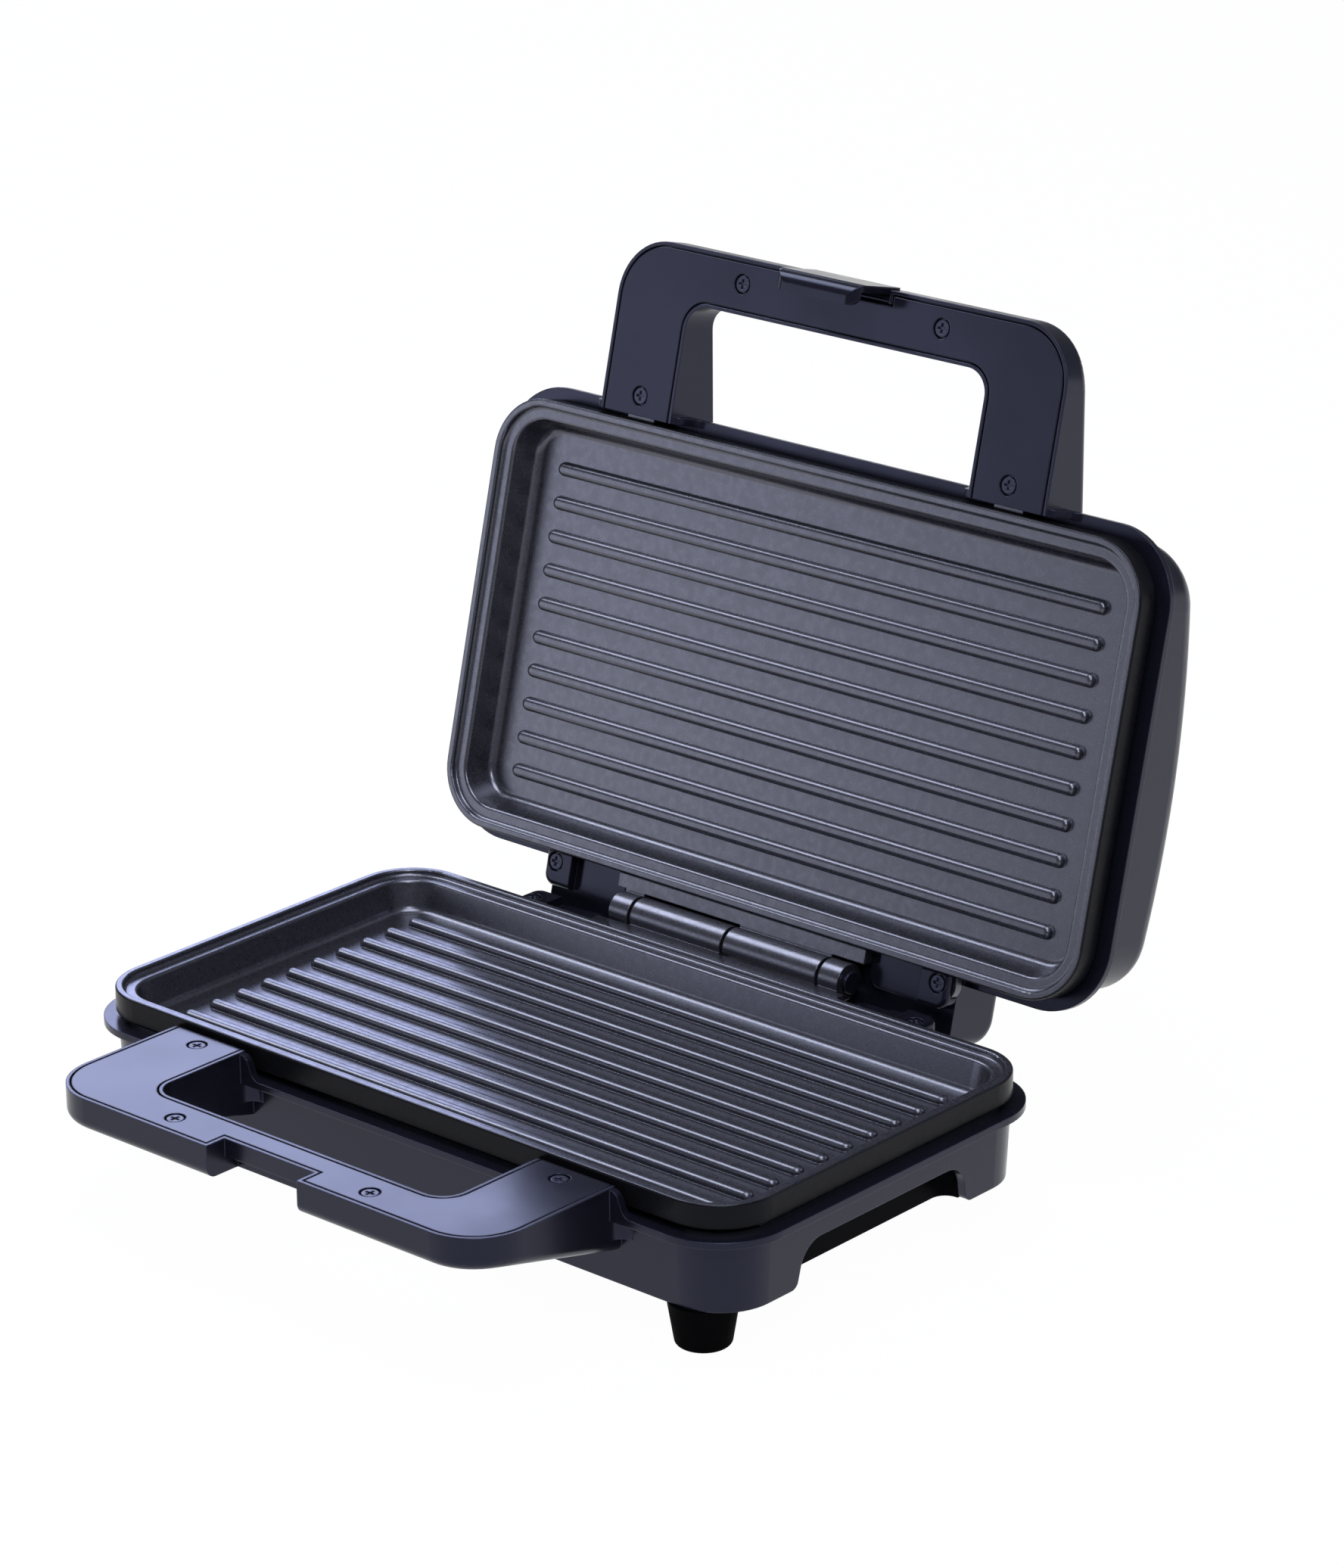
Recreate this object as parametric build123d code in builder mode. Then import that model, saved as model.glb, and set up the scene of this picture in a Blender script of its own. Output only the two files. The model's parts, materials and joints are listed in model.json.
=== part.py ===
from build123d import *
import os
from math import atan2, cos, degrees, radians, sin, sqrt, tan

# Panini press with two ribbed grill plates in hinged casings, stored with its lid open.
# Millimetres. Both halves share one frame: the hinge axis runs along X through the origin,
# Y points from the handle to the hinge and Z points at the other half, so that Z = 0 is the
# closing plane. The lower half is that frame lifted to the hinge. The lid is the same frame
# turned over and swung open.

# Press as a whole
OPEN_ANGLE = 104.19
HINGE_HEIGHT = 44.2
HINGE_Y = 64.75
CLOSED_GAP = 0.8
SEAT_GAP = 0.2
SCREW_FIT = 0.05
LEVEL_FIT = 0.001

# Grill plate
PLATE_WIDTH = 235.0
PLATE_DEPTH = 127.5
PLATE_SETBACK = 10.1
PLATE_CORNER = 17.5
PLATE_WALL = 3.0
SKIRT_HEIGHT = 6.7
LIP_WIDTH = 2.3
LEDGE_DROP = 1.8
LEDGE_WIDTH = 3.7
TRAY_DEPTH = 10.8
TRAY_RUN = 2.5
TRAY_ROUND = 2.4
LEDGE_ROUND = 1.0
LIP_ROUND = 0.6

# Ribs on the plate
RIB_PITCH = 10.0
RIB_WIDTH = 4.0
RIB_HEIGHT = 2.0
RIB_ROUND = 1.5
RIB_MARGIN = 9.0

# Hinge cast on the plates
KNUCKLE_RADIUS = 5.2
KNUCKLE_LENGTH = 35.0
LUG_LENGTH = 7.6
KNUCKLE_GAP = 1.2
TONGUE_GAP = 0.6
HINGE_PLAY = 0.3
PIN_RADIUS = 2.2
PIN_FIT = 0.05
PIN_HEAD_RADIUS = 3.2
PIN_HEAD_HEIGHT = 1.0
WEB_DROP = 1.2

# Ears that the casing screws clamp
EAR_DROP = 4.1
EAR_THICKNESS = 2.5
EAR_RADIUS = 5.0

# Casings
FLANGE_OVERHANG = 3.5
FLANGE_DROP = 9.2
FLANGE_THICKNESS = 2.0
WALL_INSET = 0.5
WALL_THICKNESS = 2.5
WALL_DRAFT = 3.0
LOWER_DEPTH = 31.2
ARCH_RISE = 12.2
ARCH_LENGTH = 67.0
ARCH_FLARE = 2.6
ARCH_ROUND = 8.0
LEG_ROUND = 2.5
LID_DEPTH = 39.0
LID_CROWN = 250.0
LID_CROWN_BACK = 16.0
LID_ROUND = 8.0

# Hinge blocks behind the plates
BLOCK_INNER = 46.0
BLOCK_OUTER = 75.0
BLOCK_BACK = 0.4
BLOCK_DEPTH = 24.0
BLOCK_ROUND = 3.5
CAP_DROP = 1.9
CAP_ROUND = 1.5
CAP_RECESS = 3.0
CAP_WALL = 0.8
TAIL_BACK = 11.5
TAIL_DEPTH = 27.5
TAIL_ROUND = 7.5
STOP_HEIGHT = 6.0
STOP_WIDTH = 12.0
HINGE_SCREW_X = 71.1
HINGE_SCREW_SETBACK = 6.8

# Handles
HANDLE_WIDTH = 161.6
HANDLE_REACH = 52.0
HANDLE_CORNER = 17.0
HANDLE_DROP = 2.1
HANDLE_THICKNESS = 9.6
HANDLE_ROUND = 3.0
ARM_SLOPE = 14.0
ARM_BLEND = 30.0
WINDOW_WIDTH = 108.0
WINDOW_CORNER = 7.0
BAR_WIDTH = 16.0
HANDLE_RIM = 1.0
COVER_THICKNESS = 1.8
COVER_SEAT = 1.5
COVER_GAP = 0.6
POCKET_FLOOR = 2.5
PLATE_TO_HANDLE = 1.4
ARM_SCREW_X = 66.8
ARM_SCREW_AHEAD = 7.15
BAR_SCREW_X = 35.9
BAR_SCREW_BACK = 7.3
BOSS_RADIUS = 3.6
FAIRING_RUN = 7.0
ROOT_ROUND = 4.0
ROOT_DROP = 17.0

# Latch and the notch it hooks
NOTCH_WIDTH = 33.2
NOTCH_DEPTH = 6.6
NOTCH_FLOOR = 2.0
HOOD_DEPTH = 2.8
HOOK_LEDGE = 5.1
HOOK_POCKET = 4.5
LATCH_WIDTH = 30.4
LATCH_THICKNESS = 2.0
LATCH_PROUD = 0.6
LATCH_TOP = 10.6
LATCH_LIP = 2.3
LATCH_HOOK = 6.1
LATCH_ROUND = 3.6
LATCH_CORNER = 4.0
LATCH_TAIL = 1.0
LATCH_PIVOT_AHEAD = 3.3
LATCH_BARREL = 2.4
LATCH_PIN_RADIUS = 1.2
LATCH_PIN_SEAT = 3.4

# Screws
SCREW_HEAD_RADIUS = 2.3
SCREW_HEAD_HEIGHT = 0.9
SCREW_SHANK_RADIUS = 1.45
SCREW_RECESS = 0.2
SCREW_RING = 0.6
SCREW_HOLE = 1.7
EAR_SCREW_LENGTH = 9.0
BAR_SCREW_LENGTH = 5.0
POST_SCREW_LENGTH = 5.0
BASE_SCREW_LENGTH = 8.0
SCREW_END_GAP = 0.5
CROSS_LENGTH = 2.9
CROSS_WIDTH = 0.75
CROSS_DEPTH = 0.6

# Heating
ELEMENT_RADIUS = 3.25
ELEMENT_BEND = 14.0
ELEMENT_INSET = 32.5
ELEMENT_FRONT = 25.6
ELEMENT_BACK = 29.9
ELEMENT_END_X = 12.0
ELEMENT_END_BACK = 12.0
REFLECTOR_THICKNESS = 0.6
REFLECTOR_GAP = 0.3
REFLECTOR_INSET = 22.0
REFLECTOR_BACK = 24.0
POST_X = 50.0
POST_RADIUS = 4.0
THERMOSTAT_RADIUS = 8.0
THERMOSTAT_HEIGHT = 8.0
THERMOSTAT_BLADE = 3.0
FUSE_RADIUS = 2.0
FUSE_LENGTH = 12.0

# Underside of the lower half
BASE_LIFT = 0.3
BASE_THICKNESS = 2.0
BASE_FIT = 0.5
BASE_UPSTAND = 12.0
BASE_RECESS = 5.0
BASE_RECESS_ROUND = 4.6
BASE_SCREW_X = 40.0
COLUMN_RADIUS = 4.5
COLUMN_BITE = 1.2
COLUMN_GAP = 1.0
FRONT_FOOT_INSET = 16.9
FRONT_FOOT_BACK = 10.0
REAR_FOOT_X = 72.0
REAR_FOOT_AHEAD = 10.0
FOOT_TOP_RADIUS = 9.6
FOOT_BOTTOM_RADIUS = 7.5
FOOT_ROUND = 1.5
FOOT_STEM = 3.0
FOOT_NECK = 5.5
TERMINAL_X = 58.0
TERMINAL_LENGTH = 26.0
TERMINAL_DEPTH = 10.0
TERMINAL_HEIGHT = 9.0
TERMINAL_AHEAD = 17.0
GLAND_BORE = 3.6
GLAND_RADIUS = 5.4
GLAND_COLLAR = 7.5
GLAND_OUT = 8.0
GLAND_IN = 3.0
GLAND_DROP = 20.0

# Indicator lamps in the lid
LAMP_SPACING = 24.0
LAMP_AHEAD = 91.2
LENS_RADIUS = 4.0
LENS_COLLAR = 5.2
LENS_WALL = 1.0
LENS_RISE = 1.6
LENS_PAD = 1.2
LAMP_LENGTH = 7.0

# Levels, measured from the closing plane
RIM = -CLOSED_GAP / 2
LEDGE = RIM - LEDGE_DROP
FLOOR = RIM - TRAY_DEPTH
UNDERSIDE = FLOOR - PLATE_WALL
SKIRT = RIM - SKIRT_HEIGHT
EAR_TOP = -EAR_DROP
EAR_BOTTOM = EAR_TOP - EAR_THICKNESS
FLANGE_TOP = -FLANGE_DROP
FLANGE_BOTTOM = FLANGE_TOP - FLANGE_THICKNESS
FLANGE_MID = (FLANGE_TOP + FLANGE_BOTTOM) / 2
HANDLE_TOP = -HANDLE_DROP
HANDLE_BOTTOM = HANDLE_TOP - HANDLE_THICKNESS
COVER_BOTTOM = HANDLE_TOP - COVER_THICKNESS
CAP_TOP = -CAP_DROP
ELEMENT_Z = UNDERSIDE - ELEMENT_RADIUS - SEAT_GAP
REFLECTOR_TOP = ELEMENT_Z - ELEMENT_RADIUS - REFLECTOR_GAP
BASE_BOTTOM = -LOWER_DEPTH + BASE_LIFT
BASE_TOP = BASE_BOTTOM + BASE_THICKNESS

# Lines across the press, measured from the hinge axis
PLATE_BACK = -PLATE_SETBACK
PLATE_FRONT = PLATE_BACK - PLATE_DEPTH
PLATE_MID = (PLATE_BACK + PLATE_FRONT) / 2
FLOOR_INSET = LIP_WIDTH + LEDGE_WIDTH + TRAY_RUN
WALL_LEAN = degrees(atan2(TRAY_RUN, LEDGE - FLOOR))
HANDLE_FRONT = PLATE_FRONT - HANDLE_REACH
WINDOW_FRONT = HANDLE_FRONT + BAR_WIDTH
ARM_END = PLATE_FRONT - PLATE_TO_HANDLE
ARM_ROOT = PLATE_FRONT + WALL_INSET + WALL_THICKNESS / 2
NOTCH_BACK = HANDLE_FRONT + NOTCH_DEPTH
HOOD_FRONT = HANDLE_FRONT + HOOD_DEPTH
LUG_END = KNUCKLE_LENGTH + LUG_LENGTH
BLOCK_FRONT = PLATE_BACK + CLOSED_GAP / 2
LATCH_PIVOT = (NOTCH_BACK - LATCH_PIVOT_AHEAD, (HANDLE_TOP + HANDLE_BOTTOM) / 2)

# Screw heads and how far their shanks run
HEAD_SEAT = SCREW_RECESS + SCREW_HEAD_HEIGHT
ARM_SHANK = HANDLE_TOP - HEAD_SEAT - EAR_BOTTOM + EAR_SCREW_LENGTH - SCREW_END_GAP
BAR_SHANK = HANDLE_TOP - HEAD_SEAT - COVER_BOTTOM + BAR_SCREW_LENGTH - SCREW_END_GAP
HINGE_SHANK = CAP_TOP - HEAD_SEAT - EAR_BOTTOM + EAR_SCREW_LENGTH - SCREW_END_GAP
POST_SCREW_HEAD = REFLECTOR_TOP - REFLECTOR_THICKNESS - SCREW_HEAD_HEIGHT
POST_SHANK = REFLECTOR_THICKNESS + POST_SCREW_LENGTH
BASE_SCREW_HEAD = BASE_BOTTOM - SCREW_HEAD_HEIGHT
BASE_SHANK = BASE_THICKNESS + BASE_SCREW_LENGTH - SCREW_END_GAP

# Places of the screws, ears, posts and lamps
REAR_EARS = [(side * HINGE_SCREW_X, -HINGE_SCREW_SETBACK) for side in (-1, 1)]
FRONT_EARS = [(side * ARM_SCREW_X, PLATE_FRONT - ARM_SCREW_AHEAD) for side in (-1, 1)]
BAR_SCREWS = [(side * BAR_SCREW_X, HANDLE_FRONT + BAR_SCREW_BACK) for side in (-1, 1)]
POSTS = [(side * POST_X, PLATE_MID) for side in (-1, 1)]
LAMPS = [(side * LAMP_SPACING / 2, -LAMP_AHEAD) for side in (-1, 1)]


def wall_inset(z):
    """How far the inside of the casing wall lies inside the plate's outline at height z."""
    return WALL_INSET + WALL_THICKNESS + (FLANGE_BOTTOM - z) * tan(radians(WALL_DRAFT))


BASE_INSET = wall_inset(BASE_BOTTOM) + BASE_FIT
BASE_SCREWS = [
    (side * BASE_SCREW_X, y)
    for side in (-1, 1)
    for y in (
        PLATE_FRONT + wall_inset(BASE_TOP) + COLUMN_RADIUS - COLUMN_BITE,
        PLATE_BACK - wall_inset(BASE_TOP) - COLUMN_RADIUS + COLUMN_BITE,
    )
]
TERMINAL_Y = PLATE_BACK - TERMINAL_AHEAD
FRONT_FOOT_X = PLATE_WIDTH / 2 - FRONT_FOOT_INSET
FRONT_FEET = [(side * FRONT_FOOT_X, PLATE_FRONT + FRONT_FOOT_BACK) for side in (-1, 1)]
REAR_FEET = [(side * REAR_FOOT_X, PLATE_BACK - REAR_FOOT_AHEAD) for side in (-1, 1)]


def plate_outline(inset, mode=Mode.ADD):
    """Plan of the plate, drawn in by inset."""
    width = PLATE_WIDTH - 2 * inset
    depth = PLATE_DEPTH - 2 * inset
    with Locations((0, PLATE_MID)):
        RectangleRounded(width, depth, PLATE_CORNER - inset, mode=mode)


def edges_at(builder, height):
    """Edges of the part that lie level at one height."""
    return builder.edges().filter_by_position(Axis.Z, height - LEVEL_FIT, height + LEVEL_FIT)


def span(low_x, high_x, low_y, high_y, mode=Mode.ADD):
    """Rectangle between two corners."""
    with Locations(((low_x + high_x) / 2, (low_y + high_y) / 2)):
        Rectangle(high_x - low_x, high_y - low_y, mode=mode)


def screws(points, top, shank, facing=1):
    """Group of cross-head screws with their heads' tops at one height."""
    with BuildPart() as group:
        with BuildSketch(Plane.XY.offset(top)):
            with Locations(*points):
                Circle(SCREW_HEAD_RADIUS)
        extrude(amount=-facing * SCREW_HEAD_HEIGHT)
        with BuildSketch(Plane.XY.offset(top - facing * SCREW_HEAD_HEIGHT)):
            with Locations(*points):
                Circle(SCREW_SHANK_RADIUS)
        extrude(amount=-facing * shank)
        with BuildSketch(Plane.XY.offset(top)):
            with Locations(*points):
                Rectangle(CROSS_LENGTH, CROSS_WIDTH)
                Rectangle(CROSS_WIDTH, CROSS_LENGTH)
        extrude(amount=-facing * CROSS_DEPTH, mode=Mode.SUBTRACT)
    return group.part


def grill_plate():
    """Cast plate with its rim, ribbed tray, hinge knuckles, screw ears and posts."""
    with BuildPart() as plate:
        with BuildSketch(Plane.XY.offset(SKIRT)):
            plate_outline(0)
        extrude(amount=RIM - SKIRT)
        with BuildSketch(Plane.XY.offset(SKIRT)):
            plate_outline(LIP_WIDTH)
        extrude(amount=LEDGE - PLATE_WALL - SKIRT, mode=Mode.SUBTRACT)
        with BuildSketch(Plane.XY.offset(UNDERSIDE)):
            plate_outline(FLOOR_INSET - PLATE_WALL)
        extrude(amount=LEDGE - PLATE_WALL / 2 - UNDERSIDE, taper=-WALL_LEAN)

        with BuildSketch(Plane.XY.offset(LEDGE)):
            plate_outline(LIP_WIDTH)
        extrude(amount=RIM - LEDGE, mode=Mode.SUBTRACT)
        with BuildSketch(Plane.XY.offset(FLOOR)):
            plate_outline(FLOOR_INSET)
        extrude(amount=LEDGE - FLOOR, taper=-WALL_LEAN, mode=Mode.SUBTRACT)
        fillet(edges_at(plate, FLOOR), TRAY_ROUND)
        fillet(edges_at(plate, LEDGE), LEDGE_ROUND)
        fillet(edges_at(plate, RIM), LIP_ROUND)

        rib_length = PLATE_WIDTH - 2 * (FLOOR_INSET + RIB_MARGIN)
        rib_room = PLATE_DEPTH - 2 * (FLOOR_INSET + RIB_MARGIN)
        rib_count = 1 + int(rib_room // RIB_PITCH)
        first_rib = PLATE_BACK - FLOOR_INSET - RIB_MARGIN
        with BuildSketch(Plane.XY.offset(FLOOR)):
            with Locations(*[(0, first_rib - row * RIB_PITCH) for row in range(rib_count)]):
                SlotOverall(rib_length, RIB_WIDTH)
        extrude(amount=RIB_HEIGHT)
        fillet(edges_at(plate, FLOOR + RIB_HEIGHT), RIB_ROUND)

        with BuildSketch(Plane.XY.offset(EAR_BOTTOM)):
            with Locations(*REAR_EARS, *FRONT_EARS):
                Circle(EAR_RADIUS)
            for x, y in REAR_EARS:
                span(x - EAR_RADIUS, x + EAR_RADIUS, PLATE_BACK - LIP_WIDTH / 2, y)
            for x, y in FRONT_EARS:
                span(x - EAR_RADIUS, x + EAR_RADIUS, y, PLATE_FRONT + LIP_WIDTH / 2)
            with Locations(*REAR_EARS, *FRONT_EARS):
                Circle(SCREW_HOLE, mode=Mode.SUBTRACT)
        extrude(amount=EAR_THICKNESS)

        tongue_half = BLOCK_INNER - SEAT_GAP
        with BuildSketch(Plane.YZ.offset(-tongue_half)):
            span(PLATE_BACK - LIP_WIDTH / 2, -KNUCKLE_RADIUS - TONGUE_GAP, -KNUCKLE_RADIUS, -WEB_DROP)
        extrude(amount=2 * tongue_half)
        for start, length in ((KNUCKLE_GAP / 2 - KNUCKLE_LENGTH, KNUCKLE_LENGTH - KNUCKLE_GAP),
                              (KNUCKLE_LENGTH + KNUCKLE_GAP / 2, LUG_LENGTH - KNUCKLE_GAP / 2)):
            with BuildSketch(Plane.YZ.offset(start)):
                Circle(KNUCKLE_RADIUS)
                span(PLATE_BACK - LIP_WIDTH / 2, 0, -KNUCKLE_RADIUS, -WEB_DROP)
                Circle(PIN_RADIUS + PIN_FIT, mode=Mode.SUBTRACT)
            extrude(amount=length)

        with BuildSketch(Plane.XY.offset(UNDERSIDE)):
            with Locations(*POSTS):
                Circle(POST_RADIUS)
        extrude(amount=REFLECTOR_TOP - UNDERSIDE)
        with BuildSketch(Plane.XY.offset(REFLECTOR_TOP)):
            with Locations(*POSTS):
                Circle(SCREW_SHANK_RADIUS + SCREW_FIT)
        extrude(amount=UNDERSIDE - REFLECTOR_TOP, mode=Mode.SUBTRACT)
    return plate.part


def handle_plan(inset, back, notch_back):
    """Plan of the handle between its notch and the line back, drawn in from every edge by inset."""
    outer_front = HANDLE_FRONT + inset
    half = HANDLE_WIDTH / 2 - inset
    corner = HANDLE_CORNER - inset
    window_half = WINDOW_WIDTH / 2 + inset
    window_corner = WINDOW_CORNER + inset
    window_length = ARM_ROOT + 2 * HANDLE_CORNER - (WINDOW_FRONT - inset)
    with BuildSketch() as plan:
        with Locations((0, outer_front + HANDLE_REACH)):
            RectangleRounded(2 * half, 2 * HANDLE_REACH, corner)
        span(-half, half, back, outer_front + 2 * HANDLE_REACH, mode=Mode.SUBTRACT)
        with Locations((0, WINDOW_FRONT - inset + window_length / 2)):
            RectangleRounded(2 * window_half, window_length, window_corner, mode=Mode.SUBTRACT)
        notch = NOTCH_WIDTH / 2 + inset
        span(-notch, notch, HANDLE_FRONT, notch_back + inset, mode=Mode.SUBTRACT)
    return plan.sketch


def handle_blank():
    """Handle arms and grip bar as one thick plate with a sloping, rounded underside."""
    bend = WINDOW_FRONT - BAR_WIDTH / 5
    root_drop = (ARM_ROOT - bend) * tan(radians(ARM_SLOPE))
    deepest = HANDLE_BOTTOM - root_drop
    half = HANDLE_WIDTH / 2
    with BuildPart() as blank:
        with BuildSketch(Plane.XY.offset(HANDLE_TOP)):
            with Locations((0, HANDLE_FRONT + HANDLE_REACH)):
                RectangleRounded(HANDLE_WIDTH, 2 * HANDLE_REACH, HANDLE_CORNER)
            span(-half, half, ARM_ROOT, HANDLE_FRONT + 2 * HANDLE_REACH, mode=Mode.SUBTRACT)
        extrude(amount=deepest - HANDLE_TOP)
        with BuildSketch(Plane.YZ):
            with BuildLine():
                FilletPolyline(
                    (HANDLE_FRONT - 1, HANDLE_BOTTOM),
                    (bend, HANDLE_BOTTOM),
                    (ARM_ROOT + 1, deepest - tan(radians(ARM_SLOPE))),
                    radius=ARM_BLEND,
                )
                Polyline(
                    (ARM_ROOT + 1, deepest - tan(radians(ARM_SLOPE))),
                    (HANDLE_FRONT - 1, deepest - tan(radians(ARM_SLOPE))),
                    (HANDLE_FRONT - 1, HANDLE_BOTTOM),
                )
            make_face()
        extrude(amount=HANDLE_WIDTH, both=True, mode=Mode.SUBTRACT)
        under = blank.faces().filter_by(lambda face: face.normal_at().Z < -0.5)
        rim = [
            edge
            for edge in under.edges()
            if abs(edge.center().X) > half / 2 or edge.center().Y < HANDLE_FRONT + 0.01
        ]
        fillet(rim, HANDLE_ROUND)
    return blank.part


def handle_frame(hooked):
    """Handle below its cover. A hooked one has the latch's ledge, the other the latch pin's seats."""
    half = HANDLE_WIDTH / 2
    window_length = ARM_ROOT + 2 * HANDLE_CORNER - WINDOW_FRONT
    notch = NOTCH_WIDTH / 2
    pocket_floor = HANDLE_BOTTOM + POCKET_FLOOR
    solid_half = notch + LATCH_PIN_SEAT + COVER_SEAT
    ear_slot = EAR_RADIUS + SEAT_GAP
    pocket_back = FRONT_EARS[0][1] - ear_slot - COVER_SEAT
    blank = handle_blank()
    recess = handle_plan(HANDLE_RIM, ARM_ROOT, NOTCH_BACK if hooked else HOOD_FRONT)
    pocket = handle_plan(HANDLE_RIM + COVER_SEAT, pocket_back, NOTCH_BACK)
    with BuildPart() as frame:
        add(blank)
        with BuildSketch(Plane.XY.offset(HANDLE_TOP)):
            with Locations((0, WINDOW_FRONT + window_length / 2)):
                RectangleRounded(WINDOW_WIDTH, window_length, WINDOW_CORNER)
        extrude(amount=-LOWER_DEPTH, mode=Mode.SUBTRACT)
        with BuildSketch(Plane.XY.offset(HANDLE_TOP)):
            span(-notch, notch, HANDLE_FRONT - HANDLE_RIM, NOTCH_BACK)
        extrude(amount=-HANDLE_THICKNESS if hooked else NOTCH_FLOOR - HANDLE_THICKNESS, mode=Mode.SUBTRACT)
        with BuildSketch(Plane.XY.offset(HANDLE_TOP)):
            span(-half, half, ARM_END, ARM_ROOT + WALL_THICKNESS)
        extrude(amount=FLANGE_TOP - HANDLE_TOP, mode=Mode.SUBTRACT)

        with BuildSketch(Plane.XY.offset(HANDLE_TOP)):
            add(recess)
        extrude(amount=-COVER_THICKNESS, mode=Mode.SUBTRACT)
        with BuildSketch(Plane.XY.offset(COVER_BOTTOM)):
            add(pocket)
            span(-solid_half, solid_half, HANDLE_FRONT, WINDOW_FRONT, mode=Mode.SUBTRACT)
            with Locations(*BAR_SCREWS):
                Circle(BOSS_RADIUS, mode=Mode.SUBTRACT)
        extrude(amount=pocket_floor - COVER_BOTTOM, mode=Mode.SUBTRACT)
        with BuildSketch(Plane.XY.offset(COVER_BOTTOM)):
            for x, y in FRONT_EARS:
                span(x - ear_slot, x + ear_slot, y - ear_slot, ARM_ROOT)
        extrude(amount=EAR_BOTTOM - COVER_BOTTOM, mode=Mode.SUBTRACT)

        with BuildSketch(Plane.XY.offset(COVER_BOTTOM)):
            with Locations(*BAR_SCREWS):
                Circle(SCREW_SHANK_RADIUS + SCREW_FIT)
        extrude(amount=-BAR_SCREW_LENGTH, mode=Mode.SUBTRACT)

        if hooked:
            with BuildSketch(Plane.XY.offset(HANDLE_TOP - HOOK_LEDGE)):
                span(-notch, notch, NOTCH_BACK - HANDLE_RIM, NOTCH_BACK + HOOK_POCKET)
            extrude(amount=-HANDLE_THICKNESS, mode=Mode.SUBTRACT)
        else:
            with BuildSketch(Plane.YZ):
                with Locations(LATCH_PIVOT):
                    Circle(LATCH_PIN_RADIUS + SCREW_FIT)
            extrude(amount=notch + LATCH_PIN_SEAT, both=True, mode=Mode.SUBTRACT)
    return frame.part


def handle_cover(notch_back):
    """Flat cover let into the handle, with a recessed ring round each screw."""
    plan = handle_plan(HANDLE_RIM + COVER_GAP, ARM_END, notch_back)
    with BuildPart() as cover:
        with BuildSketch(Plane.XY.offset(COVER_BOTTOM)):
            add(plan)
        extrude(amount=COVER_THICKNESS)
        with Locations(*[(x, y, HANDLE_TOP) for x, y in FRONT_EARS + BAR_SCREWS]):
            CounterBoreHole(SCREW_HOLE, SCREW_HEAD_RADIUS + SCREW_RING, HEAD_SEAT)
    return cover.part


def fairing(edge, side):
    """Curved rise from the flange to a handle arm's edge, on the side the arm's edge faces."""
    run = side * FAIRING_RUN
    bite = side * HANDLE_RIM / 2
    high = HANDLE_TOP - HANDLE_RIM / 2
    with BuildPart() as rise:
        with BuildSketch(Plane.XZ.offset(-ARM_END)):
            with BuildLine():
                Spline(
                    (edge + run, FLANGE_TOP),
                    (edge, high),
                    tangents=((-run, 0), (-run, 0)),
                )
                Polyline(
                    (edge, high),
                    (edge - bite, high),
                    (edge - bite, FLANGE_MID),
                    (edge + run, FLANGE_MID),
                    (edge + run, FLANGE_TOP),
                )
            make_face()
        extrude(amount=ARM_END - PLATE_FRONT + FLANGE_OVERHANG)
    return rise.part


def root_fillet(edge, side):
    """Upright fillet between a handle arm's edge and the casing wall."""
    wall = PLATE_FRONT + WALL_INSET
    near, far = sorted((edge - side * HANDLE_RIM, edge + side * ROOT_ROUND))
    with BuildPart() as fill:
        with BuildSketch(Plane.XY.offset(FLANGE_MID)):
            span(near, far, wall - ROOT_ROUND, wall + WALL_THICKNESS / 2)
            with Locations((edge + side * ROOT_ROUND, wall - ROOT_ROUND)):
                Circle(ROOT_ROUND, mode=Mode.SUBTRACT)
        extrude(amount=-ROOT_DROP - FLANGE_MID)
    return fill.part


def hinge_blocks(back, depth):
    """Two blocks behind the wall that carry the plate's rear ears, rounded off at their heels."""
    wall_line = PLATE_BACK - WALL_INSET - WALL_THICKNESS / 2
    with BuildPart() as blocks:
        for side in (-1, 1):
            with BuildSketch(Plane.YZ.offset(side * (BLOCK_INNER + BLOCK_OUTER) / 2)) as profile:
                span(BLOCK_FRONT, back, -depth, EAR_BOTTOM)
                span(wall_line, back, -depth, FLANGE_MID)
                fillet(profile.vertices().sort_by_distance((back, -depth))[0], TAIL_ROUND)
            extrude(amount=(BLOCK_OUTER - BLOCK_INNER) / 2, both=True)
        rear = blocks.edges().filter_by(Axis.Z).group_by(Axis.Y)[-1]
        fillet(rear, BLOCK_ROUND)
    return blocks.part


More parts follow.
